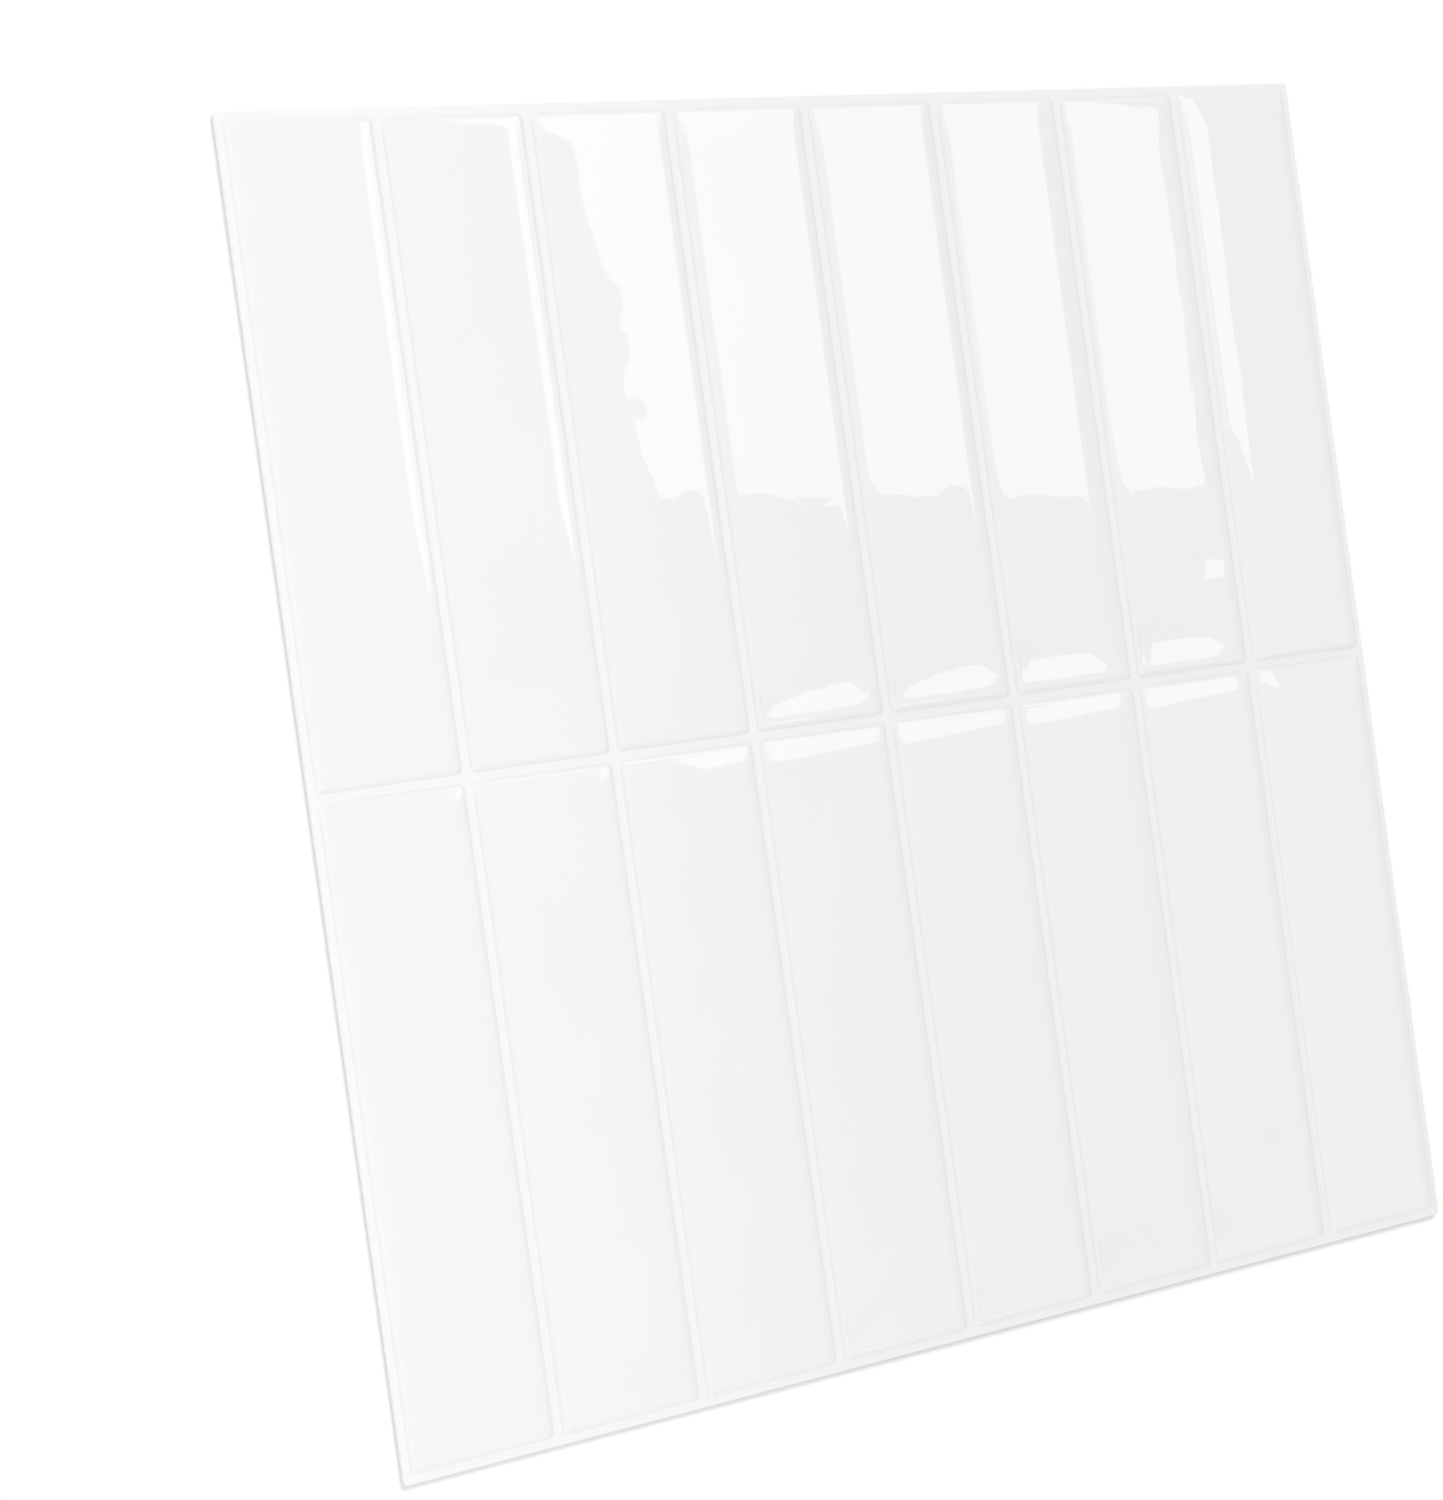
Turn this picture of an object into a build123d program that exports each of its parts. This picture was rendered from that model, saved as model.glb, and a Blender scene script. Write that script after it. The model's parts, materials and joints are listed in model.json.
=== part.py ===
from build123d import *
import os

# A self-adhesive backsplash sheet: sixteen tall gel tiles on a white carrier,
# with a paper liner under the adhesive back.
# The origin is the middle of the underside. +X runs across the columns of tiles,
# +Y runs up the sheet along the tiles, and +Z is the glossy front. Millimetres.

# Pattern of tiles on the sheet
column_count = 8
row_count = 2
tile_width = 35.75
tile_length = 149.2
grout_gap = 2.2
side_border = 1.8
end_border = 2.2

# Layers, from the wall side to the front
liner_thickness = 0.15
carrier_thickness = 1.15
gel_height = 1.1

# Outline of the die-cut sheet
sheet_corner_radius = 0.8
carrier_edge_round = 0.3

# Surface of one gel tile, in from its outline: a low foot, a curved rim, a shoulder that
# falls gently from the crown to the rim, and the flat crown
foot_height = 0.1
rim_width = 1.6
side_shoulder_width = 2.0
side_shoulder_fall = 0.24
end_shoulder_width = 5.6
end_shoulder_fall = 0.3
tile_corner_radius = 1.2

# Sizes that follow from the ones above
column_pitch = tile_width + grout_gap
row_pitch = tile_length + grout_gap
sheet_width = column_count * column_pitch - grout_gap + 2 * side_border
sheet_length = row_count * row_pitch - grout_gap + 2 * end_border
carrier_base = liner_thickness
gel_base = carrier_base + carrier_thickness

os.makedirs("parts", exist_ok=True)


def sheet_outline(height):
    """Outline of the die-cut sheet at the given height."""
    with BuildSketch(Plane.XY.offset(height)) as outline:
        RectangleRounded(sheet_width, sheet_length, sheet_corner_radius)
    return outline.sketch


def tile_section(plane, span, shoulder_width, shoulder_fall):
    """Section through a tile: a flat base, a low foot, a curved rim, a shoulder and the crown."""
    outline = span / 2
    rim_top = (outline - rim_width, gel_height - shoulder_fall)
    crown_edge = (outline - rim_width - shoulder_width, gel_height)
    with BuildSketch(plane) as section:
        with BuildLine():
            Polyline((0, 0), (outline, 0), (outline, foot_height))
            shoulder = TangentArc(crown_edge, rim_top, tangent=(1, 0))
            TangentArc(rim_top, (outline, foot_height), tangent=shoulder % 1)
            Line(crown_edge, (0, gel_height))
            mirror(about=Plane.YZ)
        make_face()
    return section.sketch


# Release liner: the silicone-coated paper that is peeled off before the sheet is stuck
with BuildPart() as release_liner:
    extrude(sheet_outline(0), amount=liner_thickness)
release_liner.part.label = "release_liner"
export_step(release_liner.part, "parts/release_liner.step")

# Carrier: the white vinyl sheet with the printed grout, its adhesive coat underneath
with BuildPart() as carrier_sheet:
    extrude(sheet_outline(carrier_base), amount=carrier_thickness)
    front_face = carrier_sheet.faces().sort_by(Axis.Z)[-1]
    fillet(front_face.edges(), radius=carrier_edge_round)
carrier_sheet.part.label = "carrier_sheet"
export_step(carrier_sheet.part, "parts/carrier_sheet.step")

# Gel tile: the section across it and the section along it meet in mitred corners
front_plane = Plane.XZ.offset(-tile_length / 2)
side_plane = Plane.YZ.offset(-tile_width / 2)
across = tile_section(front_plane, tile_width, side_shoulder_width, side_shoulder_fall)
along = tile_section(side_plane, tile_length, end_shoulder_width, end_shoulder_fall)
with BuildPart() as gel_tile:
    extrude(across, amount=tile_length)
    extrude(along, amount=tile_width, mode=Mode.INTERSECT)
    fillet(gel_tile.edges().filter_by(Axis.Z), radius=tile_corner_radius)

# The tiles stand on the carrier in a grid. Row 1 is the upper one, column 1 the left one.
for row in range(row_count):
    for column in range(column_count):
        x = (column - (column_count - 1) / 2) * column_pitch
        y = ((row_count - 1) / 2 - row) * row_pitch
        name = f"gel_tile_r{row + 1}_c{column + 1}"
        with BuildPart() as placed_tile:
            with Locations((x, y, gel_base)):
                add(gel_tile.part)
        placed_tile.part.label = name
        export_step(placed_tile.part, f"parts/{name}.step")
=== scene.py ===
"""Looks of a self-adhesive backsplash sheet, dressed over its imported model.

The sheet lies flat with its glossy front up. Sixteen cast gel tiles stand on a white vinyl
carrier with printed grout, over a paper liner. Everything is in metres, in the model's frame:
+X across the columns, +Y up the sheet, +Z out of the front.
"""

from __future__ import annotations

import json
import logging
import math
from collections.abc import Callable, Iterator
from contextlib import contextmanager
from dataclasses import dataclass
from enum import Enum
from itertools import product

import bmesh
import bpy
from mathutils import Matrix, Vector

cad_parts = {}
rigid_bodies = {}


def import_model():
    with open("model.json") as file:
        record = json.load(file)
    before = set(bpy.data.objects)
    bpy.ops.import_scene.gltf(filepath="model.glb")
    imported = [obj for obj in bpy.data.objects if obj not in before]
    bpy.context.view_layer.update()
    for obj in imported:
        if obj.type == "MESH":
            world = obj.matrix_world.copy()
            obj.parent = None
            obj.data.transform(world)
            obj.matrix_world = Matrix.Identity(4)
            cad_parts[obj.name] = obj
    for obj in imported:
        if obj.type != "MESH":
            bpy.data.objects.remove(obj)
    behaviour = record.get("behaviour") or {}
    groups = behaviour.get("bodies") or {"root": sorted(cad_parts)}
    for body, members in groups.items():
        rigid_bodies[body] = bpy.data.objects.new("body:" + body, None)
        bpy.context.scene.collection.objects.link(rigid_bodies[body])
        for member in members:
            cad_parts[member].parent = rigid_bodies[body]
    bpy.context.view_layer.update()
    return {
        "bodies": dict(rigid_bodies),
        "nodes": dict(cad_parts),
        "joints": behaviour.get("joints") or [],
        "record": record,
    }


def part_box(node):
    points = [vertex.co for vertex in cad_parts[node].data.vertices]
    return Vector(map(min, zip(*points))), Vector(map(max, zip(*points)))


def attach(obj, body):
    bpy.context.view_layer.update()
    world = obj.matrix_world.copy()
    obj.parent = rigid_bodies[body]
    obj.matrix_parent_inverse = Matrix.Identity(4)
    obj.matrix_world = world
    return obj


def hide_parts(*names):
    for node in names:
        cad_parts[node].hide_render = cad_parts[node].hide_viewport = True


LOG = logging.getLogger("backsplash")

MM = 0.001
BODY = "root"

# Places, and heights, that lie closer than this count as the same
SAME_PLACE = 1e-6
SAME_HEIGHT = 1e-7
HEIGHT_DIGITS = 7

# How far a direction of length one rises where it is nearly upright, and nearly level
UPRIGHT = 0.9
LEVEL = 0.1

# How far apart the nodes of a material stand
NODE_STEP = 200.0

Colour = tuple[float, float, float]
Span = tuple[float, float]

WHOLE: Span = (0.0, 1.0)
WHITE = (1.0, 1.0, 1.0, 1.0)


class Axis(Enum):
    """A direction of the sheet, with the number of its coordinate."""

    ACROSS = 0
    ALONG = 1
    UP = 2

    def vector(self, length: float = 1.0) -> Vector:
        """Draws a vector in this direction.

        Args:
            length: The vector's length.

        Returns:
            The vector.
        """
        result = Vector((0.0, 0.0, 0.0))
        result[self.value] = length
        return result


def in_mm(*values: float) -> tuple[float, ...]:
    """Turns millimetres into metres."""
    return tuple(value * MM for value in values)


# Work at the bench: operators that every modelled piece shares


def put_everything_down() -> None:
    """Leaves object mode with nothing selected, so that an operator acts on one piece only."""
    if bpy.context.object and bpy.context.object.mode != "OBJECT":
        bpy.ops.object.mode_set(mode="OBJECT")
    bpy.ops.object.select_all(action="DESELECT")


def pick_up(piece: bpy.types.Object) -> None:
    """Selects one piece alone and makes it the active one.

    Args:
        piece: The piece.
    """
    put_everything_down()
    piece.select_set(True)
    bpy.context.view_layer.objects.active = piece


def fix_place(piece: bpy.types.Object) -> None:
    """Moves a piece's place, turn and scale into its mesh."""
    pick_up(piece)
    bpy.ops.object.transform_apply(location=True, rotation=True, scale=True)


def add_block(name: str, low: Vector, high: Vector) -> bpy.types.Object:
    """Adds a block between two corners, as the start of a piece.

    Args:
        name: The piece's name.
        low: The corner with the lowest coordinates.
        high: The corner with the highest coordinates.

    Returns:
        The block, with its place in its mesh.
    """
    put_everything_down()
    bpy.ops.mesh.primitive_cube_add(size=1.0, location=(low + high) / 2, scale=high - low)
    block = bpy.context.object
    block.name = name
    block.data.name = name
    fix_place(block)
    return block


@contextmanager
def editing(piece: bpy.types.Object) -> Iterator[None]:
    """Keeps one piece in edit mode, with nothing selected at first.

    Args:
        piece: The piece.

    Yields:
        Nothing. The piece is in edit mode until the block ends.
    """
    pick_up(piece)
    bpy.ops.object.mode_set(mode="EDIT")
    bpy.ops.mesh.select_mode(type="VERT")
    bpy.ops.mesh.select_all(action="DESELECT")
    yield
    bpy.ops.object.mode_set(mode="OBJECT")


def select_vertices(piece: bpy.types.Object, wanted: Callable[[Vector], bool]) -> None:
    """Selects vertices in edit mode by their place.

    Args:
        piece: The piece in edit mode.
        wanted: Says whether a place is wanted.
    """
    bpy.ops.mesh.select_mode(type="VERT")
    mesh = bmesh.from_edit_mesh(piece.data)
    for vertex in mesh.verts:
        vertex.select = wanted(vertex.co)
    mesh.select_flush_mode()
    bmesh.update_edit_mesh(piece.data)


def select_edges(piece: bpy.types.Object, wanted: Callable[[Vector, Vector], bool]) -> None:
    """Selects edges in edit mode by their place and direction.

    Args:
        piece: The piece in edit mode.
        wanted: Takes an edge's middle and its direction, and says whether it is wanted.
    """
    bpy.ops.mesh.select_mode(type="EDGE")
    mesh = bmesh.from_edit_mesh(piece.data)
    for edge in mesh.edges:
        start, end = (vertex.co for vertex in edge.verts)
        edge.select = wanted((start + end) / 2, (end - start).normalized())
    mesh.select_flush_mode()
    bmesh.update_edit_mesh(piece.data)


def select_faces(piece: bpy.types.Object, wanted: Callable[[Vector, Vector], bool]) -> None:
    """Selects faces in edit mode by their place and normal.

    Args:
        piece: The piece in edit mode.
        wanted: Takes a face's centre and its normal, and says whether it is wanted.
    """
    bpy.ops.mesh.select_mode(type="FACE")
    mesh = bmesh.from_edit_mesh(piece.data)
    mesh.normal_update()
    for face in mesh.faces:
        face.select = wanted(face.calc_center_median(), face.normal)
    mesh.select_flush_mode()
    bmesh.update_edit_mesh(piece.data)


def cut_across(axis: Axis, places: list[float]) -> None:
    """Cuts the piece in edit mode square to an axis.

    Args:
        axis: The axis.
        places: Where each cut lies on it.
    """
    for place in places:
        bpy.ops.mesh.select_all(action="SELECT")
        bpy.ops.mesh.bisect(plane_co=axis.vector(place), plane_no=axis.vector(), threshold=SAME_PLACE)
    bpy.ops.mesh.select_all(action="DESELECT")


def apply_modifier(piece: bpy.types.Object, modifier: bpy.types.Modifier) -> None:
    """Applies one modifier to a piece's mesh."""
    pick_up(piece)
    bpy.ops.object.modifier_apply(modifier=modifier.name)


def smooth_over(piece: bpy.types.Object, sharpest: float) -> None:
    """Shades a piece smoothly, except over edges sharper than an angle in degrees."""
    pick_up(piece)
    bpy.ops.object.shade_smooth_by_angle(angle=math.radians(sharpest))


def evenly_between(low: float, high: float, longest: float) -> list[float]:
    """Places that divide a span into equal steps, its ends left out.

    Args:
        low: Where the span starts.
        high: Where the span ends.
        longest: The longest step allowed.

    Returns:
        The places between the steps.
    """
    steps = math.ceil((high - low) / longest)
    return [low + (high - low) * step / steps for step in range(1, steps)]


# Shader work that every finish shares


class Shader:
    """A node tree being filled, with short calls to place and join nodes."""

    def __init__(self, tree: bpy.types.NodeTree) -> None:
        """Takes the tree to fill, and leaves it empty."""
        self.tree = tree
        self.tree.nodes.clear()

    def node(self, kind: str, label: str = "", **settings: object) -> bpy.types.Node:
        """Adds a node.

        Args:
            kind: Blender's name for the kind of node.
            label: What the node is for.
            **settings: Properties of the node, by name.

        Returns:
            The new node.
        """
        made = self.tree.nodes.new(kind)
        made.label = label
        made.location = (NODE_STEP * len(self.tree.nodes), 0.0)
        for name, value in settings.items():
            setattr(made, name, value)
        return made

    def join(self, output: bpy.types.NodeSocket, entry: bpy.types.NodeSocket) -> None:
        """Links an output to an input."""
        self.tree.links.new(output, entry)

    def object_place(self) -> bpy.types.NodeSocket:
        """The place on the piece, in metres."""
        return self.node("ShaderNodeTexCoord", "place").outputs["Object"]

    def group(
        self,
        tree: bpy.types.NodeTree,
        place: bpy.types.NodeSocket,
        per_metre: float,
        detail: float | None = None,
    ) -> bpy.types.NodeSocket:
        """Places a shared group with a material's own values.

        Args:
            tree: The group.
            place: The place on the piece.
            per_metre: How closely the group's pattern repeats.
            detail: How many finer layers it holds, or None for the group's usual number.

        Returns:
            What the group puts out.
        """
        made = self.node("ShaderNodeGroup", tree.name, node_tree=tree)
        self.join(place, made.inputs["Place"])
        made.inputs["Per metre"].default_value = per_metre
        if detail is not None:
            made.inputs["Detail"].default_value = detail
        return made.outputs[0]

    def blend(self, mask: bpy.types.NodeSocket, low: Colour, high: Colour) -> bpy.types.NodeSocket:
        """Mixes two colours by a mask.

        Args:
            mask: The mask, from 0 to 1.
            low: The colour where the mask is 0.
            high: The colour where the mask is 1.

        Returns:
            The mixed colour.
        """
        mix = self.node("ShaderNodeMix", "blend", data_type="RGBA")
        self.join(mask, mix.inputs["Factor"])
        mix.inputs["A"].default_value = (*low, 1.0)
        mix.inputs["B"].default_value = (*high, 1.0)
        return mix.outputs["Result"]

    def ranged(
        self, value: bpy.types.NodeSocket, source: Span = WHOLE, target: Span = WHOLE
    ) -> bpy.types.NodeSocket:
        """Maps a value from one range to another, and holds it inside.

        Args:
            value: The value.
            source: The range that it comes in.
            target: The range that it goes to.

        Returns:
            The mapped value.
        """
        node = self.node("ShaderNodeMapRange", "range")
        self.join(value, node.inputs["Value"])
        for name, number in zip(("From Min", "From Max", "To Min", "To Max"), (*source, *target)):
            node.inputs[name].default_value = number
        return node.outputs["Result"]


class SharedEffects:
    """Node groups that more than one finish uses, each built once."""

    usual_per_metre = 100.0

    def __init__(self) -> None:
        """Builds every shared group."""
        self.patches = self._noise_group("Soft patches", "Mask", detail=2.0, span=(0.34, 0.66))
        self.grain = self._noise_group("Fine grain", "Height", detail=5.0, span=(0.25, 0.75))

    def _noise_group(self, name: str, result: str, detail: float, span: Span) -> bpy.types.NodeTree:
        """Builds a group that turns a place into an even value from 0 to 1.

        Args:
            name: The group's name.
            result: The name of its output.
            detail: How many finer layers the noise holds, unless a material says otherwise.
            span: The part of the noise's range that is spread over 0 to 1.

        Returns:
            The group.
        """
        tree = bpy.data.node_groups.new(name, "ShaderNodeTree")
        tree.interface.new_socket("Place", in_out="INPUT", socket_type="NodeSocketVector")
        for label, usual in (("Per metre", self.usual_per_metre), ("Detail", detail)):
            entry = tree.interface.new_socket(label, in_out="INPUT", socket_type="NodeSocketFloat")
            entry.default_value = usual
        tree.interface.new_socket(result, in_out="OUTPUT", socket_type="NodeSocketFloat")
        shader = Shader(tree)
        given = shader.node("NodeGroupInput")
        noise = shader.node("ShaderNodeTexNoise", "noise")
        for label, entry_name in (("Place", "Vector"), ("Per metre", "Scale"), ("Detail", "Detail")):
            shader.join(given.outputs[label], noise.inputs[entry_name])
        made = shader.node("NodeGroupOutput")
        shader.join(shader.ranged(noise.outputs["Fac"], source=span), made.inputs[result])
        return tree


def new_material(name: str) -> tuple[bpy.types.Material, Shader, bpy.types.Node]:
    """Starts a material.

    Args:
        name: The material's name.

    Returns:
        The material, its shader and its Principled node, which is joined to the output.
    """
    material = bpy.data.materials.new(name)
    material.use_nodes = True
    shader = Shader(material.node_tree)
    output = shader.node("ShaderNodeOutputMaterial")
    surface = shader.node("ShaderNodeBsdfPrincipled", "surface")
    shader.join(surface.outputs["BSDF"], output.inputs["Surface"])
    return material, shader, surface


def add_relief(
    shader: Shader, surface: bpy.types.Node, height: bpy.types.NodeSocket, depth: float
) -> None:
    """Gives a surface a fine relief.

    Args:
        shader: The material's shader.
        surface: Its Principled node.
        height: The relief's height, from 0 to 1.
        depth: How far 0 lies below 1, in metres.
    """
    bump = shader.node("ShaderNodeBump", "relief")
    bump.inputs["Strength"].default_value = 1.0
    bump.inputs["Distance"].default_value = depth
    shader.join(height, bump.inputs["Height"])
    shader.join(bump.outputs["Normal"], surface.inputs["Normal"])


# Finishes


@dataclass(frozen=True)
class GelFinish:
    """White gel under a high gloss, with slow ripples left by the casting."""

    milk: Colour = (0.853, 0.837, 0.845)
    thin_milk: Colour = (0.845, 0.828, 0.837)
    gloss: Span = (0.006, 0.018)
    refraction: float = 1.49
    patches_per_metre: float = 26.0
    ripples_per_metre: float = 80.0
    ripple_detail: float = 0.6
    ripple_depth: float = 0.014 * MM

    def make(self, effects: SharedEffects) -> bpy.types.Material:
        """Builds the material.

        Args:
            effects: The shared effects.

        Returns:
            The material.
        """
        material, shader, surface = new_material("white gel")
        place = shader.object_place()
        patches = shader.group(effects.patches, place, self.patches_per_metre)
        shader.join(shader.blend(patches, self.thin_milk, self.milk), surface.inputs["Base Color"])
        shader.join(shader.ranged(patches, target=self.gloss), surface.inputs["Roughness"])
        surface.inputs["IOR"].default_value = self.refraction
        ripples = shader.group(effects.patches, place, self.ripples_per_metre, self.ripple_detail)
        add_relief(shader, surface, ripples, self.ripple_depth)
        return material


@dataclass(frozen=True)
class GroutPrintFinish:
    """The carrier's printed front: satin white with a fine sandy grain."""

    light: Colour = (0.872, 0.861, 0.866)
    dark: Colour = (0.854, 0.843, 0.848)
    sheen_range: Span = (0.42, 0.6)
    grain_per_metre: float = 2600.0
    grain_depth: float = 0.01 * MM

    def make(self, effects: SharedEffects) -> bpy.types.Material:
        """Builds the material.

        Args:
            effects: The shared effects.

        Returns:
            The material.
        """
        material, shader, surface = new_material("printed grout")
        grain = shader.group(effects.grain, shader.object_place(), self.grain_per_metre)
        shader.join(shader.blend(grain, self.dark, self.light), surface.inputs["Base Color"])
        shader.join(shader.ranged(grain, target=self.sheen_range), surface.inputs["Roughness"])
        add_relief(shader, surface, grain, self.grain_depth)
        return material


@dataclass(frozen=True)
class CutVinylFinish:
    """The carrier's cut edge and back: dull white vinyl over a greyer line of adhesive."""

    vinyl: Colour = (0.885, 0.88, 0.872)
    adhesive: Colour = (0.79, 0.785, 0.765)
    dullness: Span = (0.45, 0.7)
    streaks_per_metre: float = 900.0
    streak_depth: float = 0.03 * MM
    half_blur: float = 0.02 * MM

    def make(self, effects: SharedEffects, adhesive_top: float) -> bpy.types.Material:
        """Builds the material.

        Args:
            effects: The shared effects.
            adhesive_top: The height where the adhesive ends and the vinyl starts.

        Returns:
            The material.
        """
        material, shader, surface = new_material("cut vinyl")
        place = shader.object_place()
        split = shader.node("ShaderNodeSeparateXYZ", "height")
        shader.join(place, split.inputs["Vector"])
        band = (adhesive_top - self.half_blur, adhesive_top + self.half_blur)
        layer = shader.ranged(split.outputs["Z"], source=band)
        shader.join(shader.blend(layer, self.adhesive, self.vinyl), surface.inputs["Base Color"])
        streaks = shader.group(effects.grain, place, self.streaks_per_metre)
        shader.join(shader.ranged(streaks, target=self.dullness), surface.inputs["Roughness"])
        add_relief(shader, surface, streaks, self.streak_depth)
        return material


@dataclass(frozen=True)
class LinerPaperFinish:
    """Release paper: pale, faintly cloudy, with fine fibres."""

    pale: Colour = (0.86, 0.845, 0.81)
    cloudy: Colour = (0.8, 0.785, 0.745)
    dullness: Span = (0.4, 0.55)
    clouds_per_metre: float = 160.0
    fibres_per_metre: float = 1400.0
    fibre_depth: float = 0.01 * MM

    def make(self, effects: SharedEffects) -> bpy.types.Material:
        """Builds the material.

        Args:
            effects: The shared effects.

        Returns:
            The material.
        """
        material, shader, surface = new_material("release paper")
        place = shader.object_place()
        clouds = shader.group(effects.patches, place, self.clouds_per_metre)
        shader.join(shader.blend(clouds, self.cloudy, self.pale), surface.inputs["Base Color"])
        shader.join(shader.ranged(clouds, target=self.dullness), surface.inputs["Roughness"])
        fibres = shader.group(effects.grain, place, self.fibres_per_metre)
        add_relief(shader, surface, fibres, self.fibre_depth)
        return material


# The object


@dataclass(frozen=True)
class EdgeFall:
    """How the gel falls from the crown to one side of a tile: a slow shoulder, then a steep rim.

    Distances are in from the tile's outline, and drops are down from the crown. The lines are
    where the tile is cut to bend.
    """

    reach: float
    rim: float
    rim_drop: float
    lines: tuple[float, ...]

    @classmethod
    def of_mm(cls, reach: float, rim: float, rim_drop: float, lines: tuple[float, ...]) -> EdgeFall:
        """Takes every size in millimetres.

        Args:
            reach: Where the crown ends and the shoulder starts.
            rim: Where the shoulder ends and the rim starts.
            rim_drop: How far the top of the rim lies below the crown.
            lines: Where the tile is cut.

        Returns:
            The fall, in metres.
        """
        return cls(*in_mm(reach, rim, rim_drop), in_mm(*lines))

    def drop(self, inset: float, foot_drop: float, spread: float = 1.0) -> float:
        """How far the surface lies below the crown.

        Args:
            inset: The distance in from the outline.
            foot_drop: How far the foot of the rim lies below the crown.
            spread: How much wider and deeper the shoulder is here than elsewhere.

        Returns:
            The drop at that distance.
        """
        shoulder, rim_drop = (self.reach - self.rim) * spread, self.rim_drop * spread
        if inset >= self.rim:
            return rim_drop * max(0.0, 1.0 - (inset - self.rim) / shoulder) ** 2
        slope = 2 * rim_drop / shoulder
        down = self.rim - inset
        curve = (foot_drop - rim_drop - slope * self.rim) / self.rim**2
        return rim_drop + slope * down + curve * down**2


@dataclass(frozen=True)
class Press:
    """A soft dent that the casting leaves in a tile: a line pressed down with slopes beside it.

    The line is placed from the middle of the tile's lower end, and can slant and bend.
    """

    middle: tuple[float, float]
    half_length: float
    slant: float
    bend: float
    depth: float
    radius: float


NARROW_LEFT = EdgeFall.of_mm(reach=2.9, rim=1.3, rim_drop=0.1, lines=(0.45, 0.9, 1.35, 2.1, 3.0))
WIDE_LEFT = EdgeFall.of_mm(
    reach=7.6, rim=1.3, rim_drop=0.45, lines=(0.45, 0.9, 1.4, 2.6, 4.2, 6.0, 7.8)
)
NARROW_RIGHT = EdgeFall.of_mm(
    reach=4.7, rim=1.4, rim_drop=0.3, lines=(0.45, 0.95, 1.5, 2.6, 3.7, 5.0)
)
WIDE_RIGHT = EdgeFall.of_mm(
    reach=7.4, rim=1.4, rim_drop=0.42, lines=(0.45, 0.95, 1.5, 2.8, 4.4, 6.0, 7.6)
)
UPPER_END = EdgeFall.of_mm(
    reach=7.6, rim=1.2, rim_drop=0.47, lines=(0.4, 0.85, 1.35, 2.8, 4.5, 6.4, 8.6)
)
LOWER_END = EdgeFall.of_mm(
    reach=3.4, rim=1.4, rim_drop=0.08, lines=(0.45, 0.95, 1.5, 2.5, 3.8, 5.6, 8.0)
)

SLANTED_DENT = Press(
    middle=in_mm(-0.8, 9.0),
    half_length=11.0 * MM,
    slant=0.13,
    bend=-9.5,
    depth=0.52 * MM,
    radius=6.9 * MM,
)
LEVEL_DENT = Press(
    middle=in_mm(-3.0, 9.2),
    half_length=10.0 * MM,
    slant=-0.03,
    bend=-6.0,
    depth=0.52 * MM,
    radius=6.9 * MM,
)
POCK = Press(
    middle=in_mm(9.5, 28.0),
    half_length=2.5 * MM,
    slant=0.0,
    bend=0.0,
    depth=0.34 * MM,
    radius=5.0 * MM,
)


@dataclass(frozen=True)
class Mould:
    """One mould of the casting line, with the shape of the tiles that come out of it."""

    left: EdgeFall = NARROW_LEFT
    right: EdgeFall = NARROW_RIGHT
    upper: EdgeFall = UPPER_END
    lower: EdgeFall = LOWER_END
    upper_skew: float = 0.25
    presses: tuple[Press, ...] = ()


PLAIN = Mould()
SLANTED_HOLLOW = Mould(presses=(SLANTED_DENT,))
LEVEL_HOLLOW = Mould(right=WIDE_RIGHT, presses=(LEVEL_DENT,))
POCKED = Mould(presses=(LEVEL_DENT, POCK))
SWEPT_LEFT = Mould(left=WIDE_LEFT)


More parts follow.
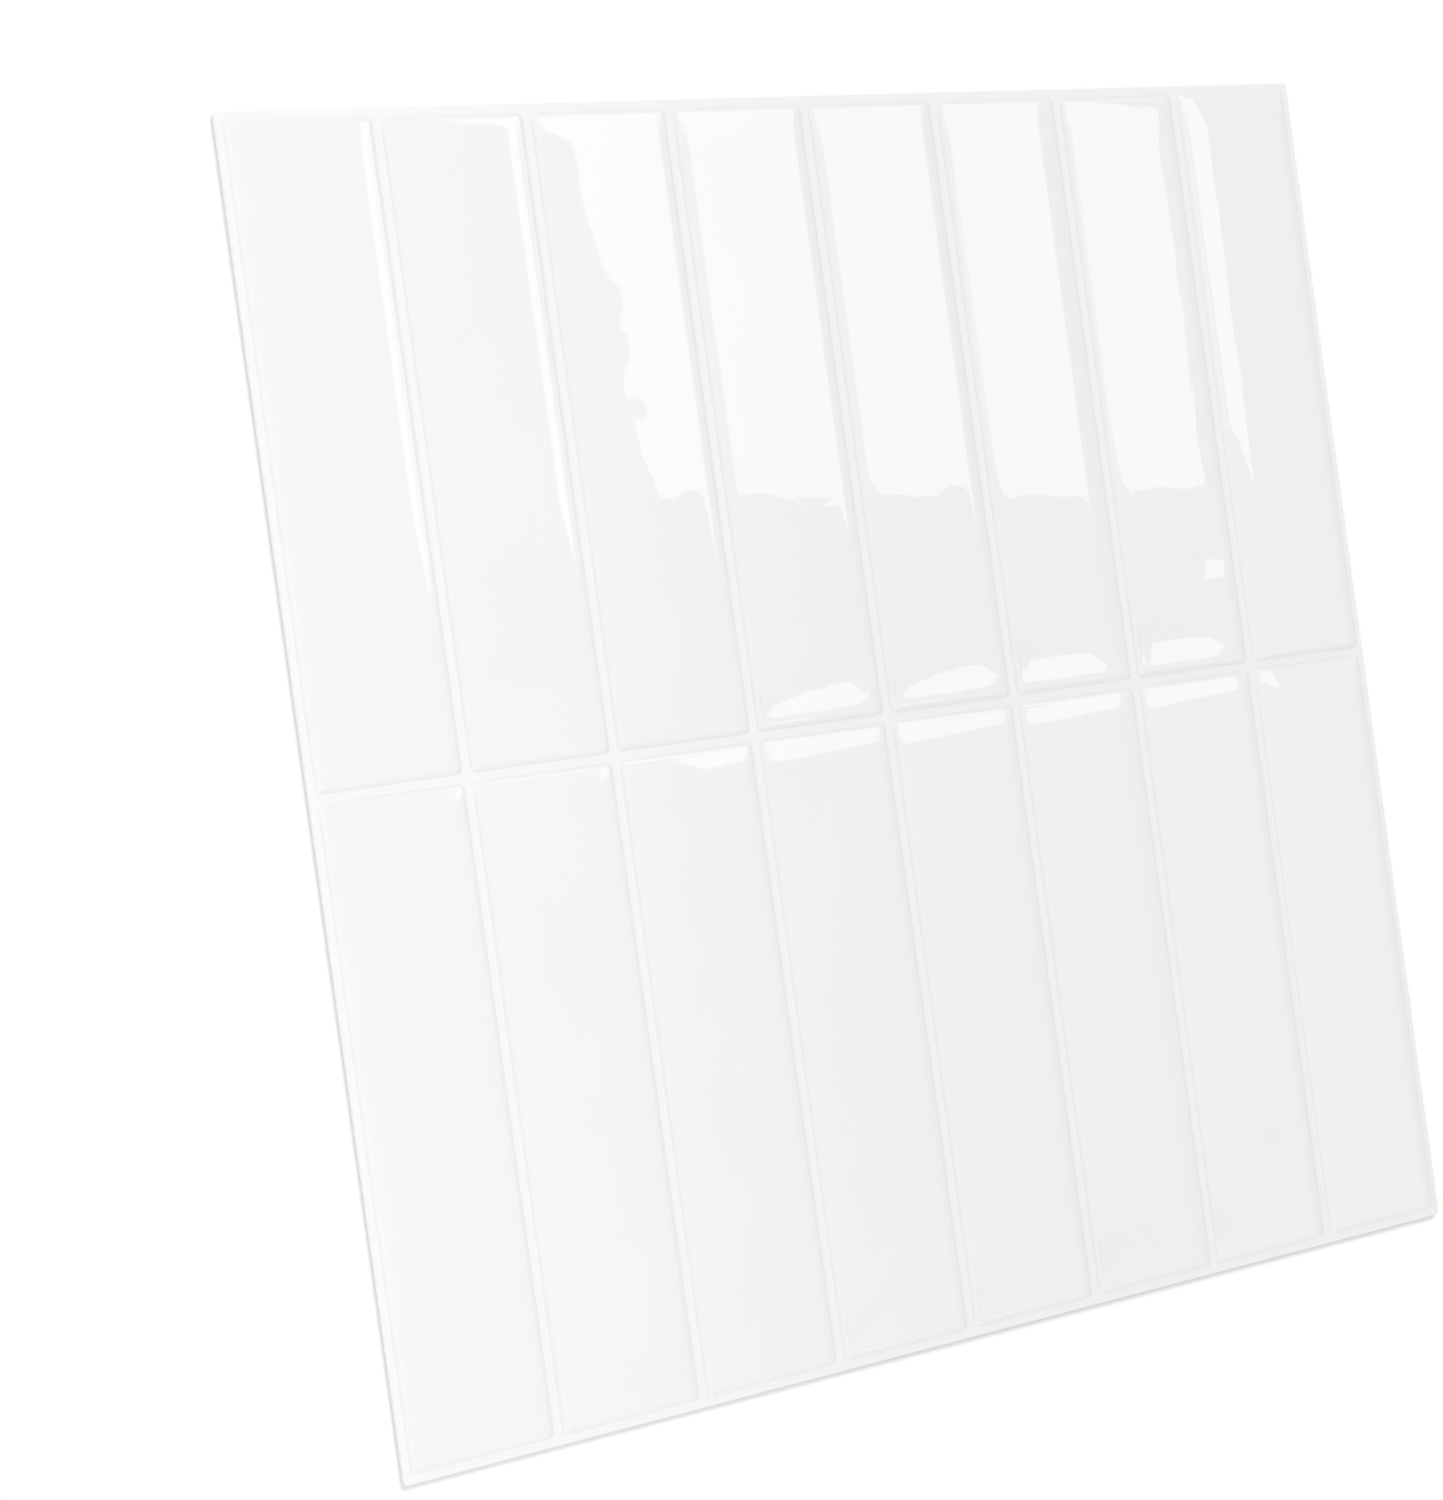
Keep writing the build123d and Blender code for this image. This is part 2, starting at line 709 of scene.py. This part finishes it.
@dataclass
class GelTileField:
    """The gel tiles: one is modelled for each mould, and the tiles are copies of it."""

    finish: GelFinish
    first_node: str = "gel_tile_r1_c1"
    moulds: tuple[Mould, ...] = (
        *(PLAIN,) * 3,
        *(SLANTED_HOLLOW,) * 2,
        LEVEL_HOLLOW,
        POCKED,
        SWEPT_LEFT,
    )
    foot_height: float = 0.1 * MM
    corner_radius: float = 1.2 * MM
    longest_step: Span = (5.2 * MM, 6.0 * MM)
    rounds: int = 2
    sharpest_degrees: float = 60.0
    press_half_width: float = 0.75 * MM
    press_reach_down: float = 0.6 * MM
    press_smoothing: float = 0.5
    press_margin: int = 2
    ripple_size: float = 30 * MM
    ripple_depth: float = 0.07 * MM
    ripple_layers: int = 1

    def __post_init__(self) -> None:
        """Reads the first tile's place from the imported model."""
        self.low, self.high = (Vector(corner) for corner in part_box(self.first_node))
        self.foot_drop = self.high.z - self.low.z - self.foot_height

    def make(self, nodes: list[str], effects: SharedEffects) -> list[bpy.types.Object]:
        """Makes every tile.

        Args:
            nodes: The nodes that the tiles stand for.
            effects: The shared effects.

        Returns:
            The finished tiles, in the order of the nodes.
        """
        material = self.finish.make(effects)
        ripple = bpy.data.textures.new("casting ripple", type="CLOUDS")
        ripple.noise_scale = self.ripple_size
        ripple.noise_depth = self.ripple_layers
        patterns = {mould: self._model_pattern(mould, material) for mould in dict.fromkeys(self.moulds)}
        tiles = []
        for node in nodes:
            column = int(node.rsplit("_c", 1)[1])
            tiles.append(self._cast_copy(patterns[self.moulds[column - 1]], node, ripple))
        for pattern in patterns.values():
            bpy.data.objects.remove(pattern, do_unlink=True)
        return tiles

    def _model_pattern(self, mould: Mould, material: bpy.types.Material) -> bpy.types.Object:
        """Models one mould's tile at the first node's place, and dresses it.

        Args:
            mould: The mould.
            material: The gel's material.

        Returns:
            The tile that the mould's copies are made from.
        """
        tile = add_block("gel pattern", self.low, self.high)
        with editing(tile):
            self._cut_grid(mould)
            self._lower_edges(tile, mould)
            self._round_corners(tile, mould)
            self._keep_foot_sharp(tile)
        rounding = tile.modifiers.new("rounding", "SUBSURF")
        rounding.levels = self.rounds
        rounding.render_levels = self.rounds
        apply_modifier(tile, rounding)
        with editing(tile):
            select_faces(tile, lambda centre, normal: normal.z < -UPRIGHT)
            bpy.ops.mesh.dissolve_faces()
            self._mark_crown(tile, mould)
            # Hidden vertices stay where they are, so no press reaches the rim or the foot
            bpy.ops.mesh.hide(unselected=True)
            for press in mould.presses:
                self._push_down(tile, press)
            bpy.ops.mesh.reveal(select=False)
        smooth_over(tile, self.sharpest_degrees)
        tile.data.materials.append(material)
        return tile

    def _cut_grid(self, mould: Mould) -> None:
        """Cuts the block where its surface bends, and evenly across its crown.

        Args:
            mould: The mould, with the lines of each side.
        """
        sides = (
            (Axis.ACROSS, self.low.x, mould.left.lines, self.high.x, mould.right.lines),
            (Axis.ALONG, self.low.y, mould.lower.lines, self.high.y, mould.upper.lines),
        )
        for (axis, low, low_lines, high, high_lines), longest in zip(sides, self.longest_step):
            bends = [low + line for line in low_lines] + [high - line for line in high_lines]
            crown = evenly_between(low + low_lines[-1], high - high_lines[-1], longest)
            cut_across(axis, bends + crown)

    def _drop(self, place: Vector, mould: Mould) -> float:
        """How far the domed surface lies below the crown.

        Args:
            place: A place on the tile's top.
            mould: The mould.

        Returns:
            The drop there, down to the foot at most.
        """
        middle, half = (self.low.x + self.high.x) / 2, (self.high.x - self.low.x) / 2
        spread = 1.0 - mould.upper_skew * (place.x - middle) / half
        falls = (
            mould.left.drop(place.x - self.low.x, self.foot_drop),
            mould.right.drop(self.high.x - place.x, self.foot_drop),
            mould.lower.drop(place.y - self.low.y, self.foot_drop),
            mould.upper.drop(self.high.y - place.y, self.foot_drop, spread),
        )
        return min(self.foot_drop, math.hypot(*falls))

    def _lower_edges(self, tile: bpy.types.Object, mould: Mould) -> None:
        """Lowers the top's vertices level by level, into edges that fall away from the crown.

        Args:
            tile: The tile in edit mode.
            mould: The mould.
        """
        top = self.high.z - SAME_HEIGHT

        def level_at(place: Vector) -> float:
            """The drop at a place, rounded so that like places share a level."""
            return round(self._drop(place, mould), HEIGHT_DIGITS)

        mesh = bmesh.from_edit_mesh(tile.data)
        levels = {level_at(vertex.co) for vertex in mesh.verts if vertex.co.z > top}
        for level in sorted(levels - {0.0}):
            select_vertices(tile, lambda place: place.z > top and level_at(place) == level)
            bpy.ops.transform.translate(value=Axis.UP.vector(-level))

    def _round_corners(self, tile: bpy.types.Object, mould: Mould) -> None:
        """Draws the vertices near each upright corner in to a round outline.

        Args:
            tile: The tile in edit mode.
            mould: The mould.
        """
        sides = ((self.low.x, 1, mould.left.lines), (self.high.x, -1, mould.right.lines))
        ends = ((self.low.y, 1, mould.lower.lines), (self.high.y, -1, mould.upper.lines))
        for (x, inward_x, lines_x), (y, inward_y, lines_y) in product(sides, ends):
            for inset_x, inset_y in product((0.0, *lines_x), (0.0, *lines_y)):
                spot = (x + inward_x * inset_x, y + inward_y * inset_y)
                shift = self._drawn_in(inset_x, inset_y)
                select_vertices(tile, lambda place: math.dist(place.xy, spot) < SAME_PLACE)
                bpy.ops.transform.translate(value=(inward_x * shift.x, inward_y * shift.y, 0.0))

    def _drawn_in(self, inset_x: float, inset_y: float) -> Vector:
        """How far a vertex moves in, so that squares round the corner's centre turn round.

        Args:
            inset_x: How far it lies in from the side.
            inset_y: How far it lies in from the end.

        Returns:
            The shift from the side and from the end.
        """
        from_centre = Vector((self.corner_radius - inset_x, self.corner_radius - inset_y))
        if min(from_centre) < 0.0 or from_centre.length < SAME_PLACE:
            return Vector((0.0, 0.0))
        return from_centre * (1.0 - max(from_centre) / from_centre.length)

    def _keep_foot_sharp(self, tile: bpy.types.Object) -> None:
        """Creases the two outlines of the foot, which meets the carrier squarely.

        Args:
            tile: The tile in edit mode.
        """
        levels = (self.low.z, self.low.z + self.foot_height)
        inside = self.corner_radius / 2

        def on_foot_outline(middle: Vector, direction: Vector) -> bool:
            """Says whether an edge lies on one of the two outlines.

            Args:
                middle: The edge's middle.
                direction: The edge's direction.

            Returns:
                Whether it does.
            """
            level = min(abs(middle.z - height) for height in levels) < SAME_PLACE
            under = self.low.x + inside < middle.x < self.high.x - inside
            under = under and self.low.y + inside < middle.y < self.high.y - inside
            return level and abs(direction.z) < LEVEL and not under

        select_edges(tile, on_foot_outline)
        bpy.ops.transform.edge_crease(value=1.0)

    def _mark_crown(self, tile: bpy.types.Object, mould: Mould) -> None:
        """Selects and groups the vertices inside the rim, which presses and ripples may move.

        Args:
            tile: The tile in edit mode.
            mould: The mould.
        """
        bpy.ops.object.vertex_group_add()
        tile.vertex_groups.active.name = "crown"

        def inside_rim(place: Vector) -> bool:
            """Says whether a place lies on the shoulders or the crown.

            Args:
                place: The place.

            Returns:
                Whether it does.
            """
            across = self.low.x + mould.left.rim < place.x < self.high.x - mould.right.rim
            along = self.low.y + mould.lower.rim < place.y < self.high.y - mould.upper.rim
            return across and along and place.z > self.low.z + self.foot_height

        select_vertices(tile, inside_rim)
        bpy.ops.object.vertex_group_assign()

    def _push_down(self, tile: bpy.types.Object, press: Press) -> None:
        """Pushes one soft dent into a tile, and smooths it.

        Args:
            tile: The tile in edit mode.
            press: The dent.
        """
        middle = Vector(((self.low.x + self.high.x) / 2, self.low.y)) + Vector(press.middle)
        lowest = self.high.z - self.press_reach_down

        def on_line(place: Vector) -> bool:
            """Says whether a place lies on the dent's line.

            Args:
                place: The place.

            Returns:
                Whether it does.
            """
            off = place.xy - middle
            near = abs(off.y - press.slant * off.x - press.bend * off.x**2) < self.press_half_width
            return near and abs(off.x) < press.half_length and place.z > lowest

        select_vertices(tile, on_line)
        bpy.ops.transform.translate(
            value=Axis.UP.vector(-press.depth),
            use_proportional_edit=True,
            proportional_edit_falloff="LINEAR",
            proportional_size=press.radius,
        )
        select_vertices(tile, lambda place: (place.xy - middle).length < press.half_length + press.radius)
        for _ in range(self.press_margin):
            bpy.ops.mesh.select_less()
        bpy.ops.mesh.vertices_smooth(factor=self.press_smoothing, repeat=1, xaxis=False, yaxis=False)

    def _cast_copy(
        self, pattern: bpy.types.Object, node: str, ripple: bpy.types.Texture
    ) -> bpy.types.Object:
        """Makes one tile from its mould's pattern.

        Args:
            pattern: The modelled tile.
            node: The node that the tile stands for.
            ripple: The texture of the casting ripples.

        Returns:
            The tile, in place.
        """
        pick_up(pattern)
        bpy.ops.object.duplicate(linked=False)
        tile = bpy.context.object
        tile.name = node.replace("gel_tile", "cast_gel")
        tile.data.name = tile.name
        low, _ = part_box(node)
        bpy.ops.transform.translate(value=Vector(low) - self.low)
        fix_place(tile)
        waves = tile.modifiers.new("ripples", "DISPLACE")
        waves.texture = ripple
        waves.texture_coords = "LOCAL"
        waves.direction = "Z"
        waves.vertex_group = "crown"
        waves.mid_level = 1.0
        waves.strength = self.ripple_depth
        apply_modifier(tile, waves)
        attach(tile, BODY)
        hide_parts(node)
        return tile


@dataclass
class CarrierSheet:
    """The vinyl sheet under the tiles: printed front, cut edge and adhesive back."""

    print_finish: GroutPrintFinish
    cut_finish: CutVinylFinish
    node: str = "carrier_sheet"
    corner_radius: float = 0.8 * MM
    edge_radius: float = 0.3 * MM
    steps_round: int = 4
    sharpest_degrees: float = 40.0
    adhesive_thickness: float = 0.12 * MM
    film_thickness: float = 0.25 * MM
    core_inset: float = 0.05 * MM
    core_slope: float = 0.03 * MM

    def __post_init__(self) -> None:
        """Reads the sheet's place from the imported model."""
        self.low, self.high = (Vector(corner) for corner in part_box(self.node))

    def make(self, effects: SharedEffects) -> bpy.types.Object:
        """Models the sheet and dresses it.

        Args:
            effects: The shared effects.

        Returns:
            The finished sheet.
        """
        sheet = add_block("printed_carrier", self.low, self.high)
        adhesive_top = self.low.z + self.adhesive_thickness
        face = self.high.z - SAME_PLACE
        with editing(sheet):
            select_edges(sheet, lambda middle, direction: abs(direction.z) > UPRIGHT)
            bpy.ops.mesh.bevel(offset=self.corner_radius, segments=self.steps_round, affect="EDGES")
            self._step_core(sheet, adhesive_top, self.high.z - self.film_thickness)
            select_edges(sheet, lambda middle, direction: middle.z > face and abs(direction.z) < LEVEL)
            bpy.ops.mesh.bevel(offset=self.edge_radius, segments=self.steps_round, affect="EDGES")
        sheet.data.materials.append(self.print_finish.make(effects))
        sheet.data.materials.append(self.cut_finish.make(effects, adhesive_top))
        with editing(sheet):
            select_faces(sheet, lambda centre, normal: centre.z < self.high.z - self.edge_radius)
            sheet.active_material_index = 1
            bpy.ops.object.material_slot_assign()
        smooth_over(sheet, self.sharpest_degrees)
        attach(sheet, BODY)
        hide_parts(self.node)
        return sheet

    def _step_core(self, sheet: bpy.types.Object, bottom: float, top: float) -> None:
        """Sets the core's cut edge back a hair between the adhesive and the face film.

        Args:
            sheet: The sheet in edit mode.
            bottom: The height of the core's underside.
            top: The height of the core's top.
        """
        slope = self.core_slope
        cut_across(Axis.UP, [bottom, bottom + slope, top - slope, top])
        middle = (self.low + self.high) / 2
        half = self.high.x - middle.x
        select_vertices(sheet, lambda place: bottom + slope / 2 < place.z < top - slope / 2)
        shrink = 1.0 - self.core_inset / half
        bpy.ops.transform.resize(value=(shrink, shrink, 1.0), center_override=middle)


@dataclass
class ReleaseLiner:
    """The paper under the adhesive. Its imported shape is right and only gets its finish."""

    finish: LinerPaperFinish
    node: str = "release_liner"

    def dress(self, frame: dict, effects: SharedEffects) -> bpy.types.Object:
        """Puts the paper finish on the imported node.

        Args:
            frame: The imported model.
            effects: The shared effects.

        Returns:
            The liner.
        """
        liner = frame["nodes"][self.node]
        material = self.finish.make(effects)
        liner.data.materials.clear()
        liner.data.materials.append(material)
        return liner


# The studio


class Reach(Enum):
    """What a light shows on."""

    EVERYWHERE = "everywhere"
    GLOSS_ONLY = "gloss only"
    DULL_ONLY = "dull only"


@dataclass(frozen=True)
class Softbox:
    """A flat soft light, held by the directions of its width and of its length."""

    name: str
    centre: Vector
    width_along: Vector
    length_along: Vector
    size: tuple[float, float]
    radiance: float
    spread_degrees: float = 180.0
    reach: Reach = Reach.EVERYWHERE

    def hang(self) -> None:
        """Hangs the light. Its width, its length and its back make a right-handed set."""
        put_everything_down()
        bpy.ops.object.light_add(type="AREA", location=self.centre)
        lamp = bpy.context.object
        lamp.name = self.name
        width, length = self.width_along.normalized(), self.length_along.normalized()
        axes = Matrix((width, length, width.cross(length))).transposed()
        lamp.rotation_euler = axes.to_euler()
        lamp.data.shape = "RECTANGLE"
        lamp.data.size, lamp.data.size_y = self.size
        lamp.data.energy = self.radiance * math.pi * self.size[0] * self.size[1]
        lamp.data.spread = math.radians(self.spread_degrees)
        lamp.visible_glossy = self.reach is not Reach.DULL_ONLY
        lamp.visible_diffuse = self.reach is not Reach.GLOSS_ONLY


@dataclass(frozen=True)
class FloorLight:
    """An even, soft light from one side that reaches the floor alone, where it makes the shadow."""

    name: str = "floor light"
    comes_from: Vector = Vector((0.39, 0.68, 0.62))
    strength: float = 1.9
    softness_degrees: float = 24.0

    def hang(self, floor: bpy.types.Object) -> None:
        """Hangs the light.

        Args:
            floor: The floor, the one thing that the light reaches.
        """
        put_everything_down()
        bpy.ops.object.light_add(type="SUN", location=self.comes_from)
        lamp = bpy.context.object
        lamp.name = self.name
        lamp.rotation_euler = self.comes_from.to_track_quat("Z", "Y").to_euler()
        lamp.data.energy = self.strength
        lamp.data.angle = math.radians(self.softness_degrees)
        lamp.visible_glossy = False
        reached = bpy.data.collections.new("reached by the floor light")
        reached.objects.link(floor)
        lamp.light_linking.receiver_collection = reached


@dataclass(frozen=True)
class Photographer:
    """Where the photograph was taken from."""

    stands_at: Vector = Vector((-0.4205, 0.0068, 0.6524))
    looks_at: Vector = Vector((-0.0474, -0.0019, 0.0013))
    tilt_degrees: float = 7.86
    lens: float = 76.29
    sensor_width: float = 36.0
    nearest: float = 0.01

    def set_up(self) -> None:
        """Places the camera and makes it the scene's camera."""
        put_everything_down()
        bpy.ops.object.camera_add(location=self.stands_at)
        camera = bpy.context.object
        camera.name = "photograph view"
        camera.data.sensor_width = self.sensor_width
        camera.data.lens = self.lens
        camera.data.clip_start = self.nearest
        sight = (self.looks_at - self.stands_at).normalized()
        level = sight.cross(Axis.ALONG.vector()).normalized()
        right = Matrix.Rotation(math.radians(self.tilt_degrees), 3, sight) @ level
        axes = Matrix((right, right.cross(sight), -sight)).transposed()
        camera.matrix_world = Matrix.Translation(self.stands_at) @ axes.to_4x4()
        bpy.context.scene.camera = camera


@dataclass(frozen=True)
class Studio:
    """A plain white floor under soft light, with a room that is duller towards one side."""

    floor_size: float = 40.0
    floor_gap: float = 0.02 * MM
    floor_white: Colour = (0.71, 0.71, 0.71)
    floor_dullness: float = 0.8
    floor_glow: float = 0.03
    bright_room: float = 1.055
    dull_room: float = 0.25
    bright_side: Vector = Vector((-0.937, 0.232, 0.259))
    dulling: Span = (-0.95, -0.45)
    lights: tuple[Softbox, ...] = (
        Softbox(
            "window softbox",
            centre=Vector((1.39, 0.87, 2.051)),
            width_along=Vector((0.638, -0.138, -0.758)),
            length_along=Vector((-0.293, 0.866, -0.404)),
            size=(0.662, 1.5),
            radiance=1.91,
            reach=Reach.GLOSS_ONLY,
        ),
        Softbox(
            "side fill",
            centre=Vector((-0.16, 0.0, 0.5)),
            width_along=Axis.ACROSS.vector(),
            length_along=Axis.ALONG.vector(),
            size=(0.2, 1.2),
            radiance=0.088,
            spread_degrees=25.0,
            reach=Reach.DULL_ONLY,
        ),
    )

    def set_up(self) -> None:
        """Lays the floor, hangs the lights and sets the room's light."""
        floor = self._lay_floor()
        FloorLight().hang(floor)
        for light in self.lights:
            light.hang()
        self._light_room()
        bpy.context.scene.view_settings.view_transform = "Standard"

    def _lay_floor(self) -> bpy.types.Object:
        """Lays the floor just under the sheet. It is seen as white, and keeps its shadows.

        Returns:
            The floor.
        """
        put_everything_down()
        bpy.ops.mesh.primitive_plane_add(size=self.floor_size, location=(0.0, 0.0, -self.floor_gap))
        floor = bpy.context.object
        floor.name = "studio_floor"
        fix_place(floor)
        material, shader, surface = new_material("floor white")
        surface.inputs["Base Color"].default_value = (*self.floor_white, 1.0)
        surface.inputs["Roughness"].default_value = self.floor_dullness
        surface.inputs["Emission Color"].default_value = WHITE
        path = shader.node("ShaderNodeLightPath")
        seen = path.outputs["Is Camera Ray"]
        for kind in ("Is Glossy Ray", "Is Transmission Ray"):
            either = shader.node("ShaderNodeMath", "either", operation="MAXIMUM")
            shader.join(seen, either.inputs[0])
            shader.join(path.outputs[kind], either.inputs[1])
            seen = either.outputs["Value"]
        glow = shader.node("ShaderNodeMath", "glow", operation="MULTIPLY")
        glow.inputs[1].default_value = self.floor_glow
        shader.join(seen, glow.inputs[0])
        shader.join(glow.outputs["Value"], surface.inputs["Emission Strength"])
        floor.data.materials.append(material)
        return floor

    def _light_room(self) -> None:
        """Sets a white room that is evenly bright, and dulls only opposite its bright side."""
        world = bpy.data.worlds.new("white room")
        world.use_nodes = True
        bpy.context.scene.world = world
        shader = Shader(world.node_tree)
        output = shader.node("ShaderNodeOutputWorld")
        room = shader.node("ShaderNodeBackground", "room")
        room.inputs["Color"].default_value = WHITE
        direction = shader.node("ShaderNodeTexCoord", "direction").outputs["Generated"]
        towards = shader.node("ShaderNodeVectorMath", "towards bright side", operation="DOT_PRODUCT")
        towards.inputs[1].default_value = self.bright_side
        shader.join(direction, towards.inputs[0])
        strengths = (self.dull_room, self.bright_room)
        strength = shader.ranged(towards.outputs["Value"], source=self.dulling, target=strengths)
        shader.join(strength, room.inputs["Strength"])
        shader.join(room.outputs["Background"], output.inputs["Surface"])


def report(piece: bpy.types.Object) -> None:
    """Logs a piece's name and how many faces it has."""
    LOG.info("%s: %d faces", piece.name, len(piece.data.polygons))


def main() -> None:
    """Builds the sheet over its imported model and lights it."""
    logging.basicConfig(level=logging.INFO, format="%(message)s")
    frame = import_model()
    effects = SharedEffects()
    tile_nodes = sorted(name for name in frame["nodes"] if name.startswith("gel_tile"))

    report(ReleaseLiner(LinerPaperFinish()).dress(frame, effects))
    report(CarrierSheet(GroutPrintFinish(), CutVinylFinish()).make(effects))
    for tile in GelTileField(GelFinish()).make(tile_nodes, effects):
        report(tile)
    Studio().set_up()
    Photographer().set_up()


if __name__ == "__main__":
    main()
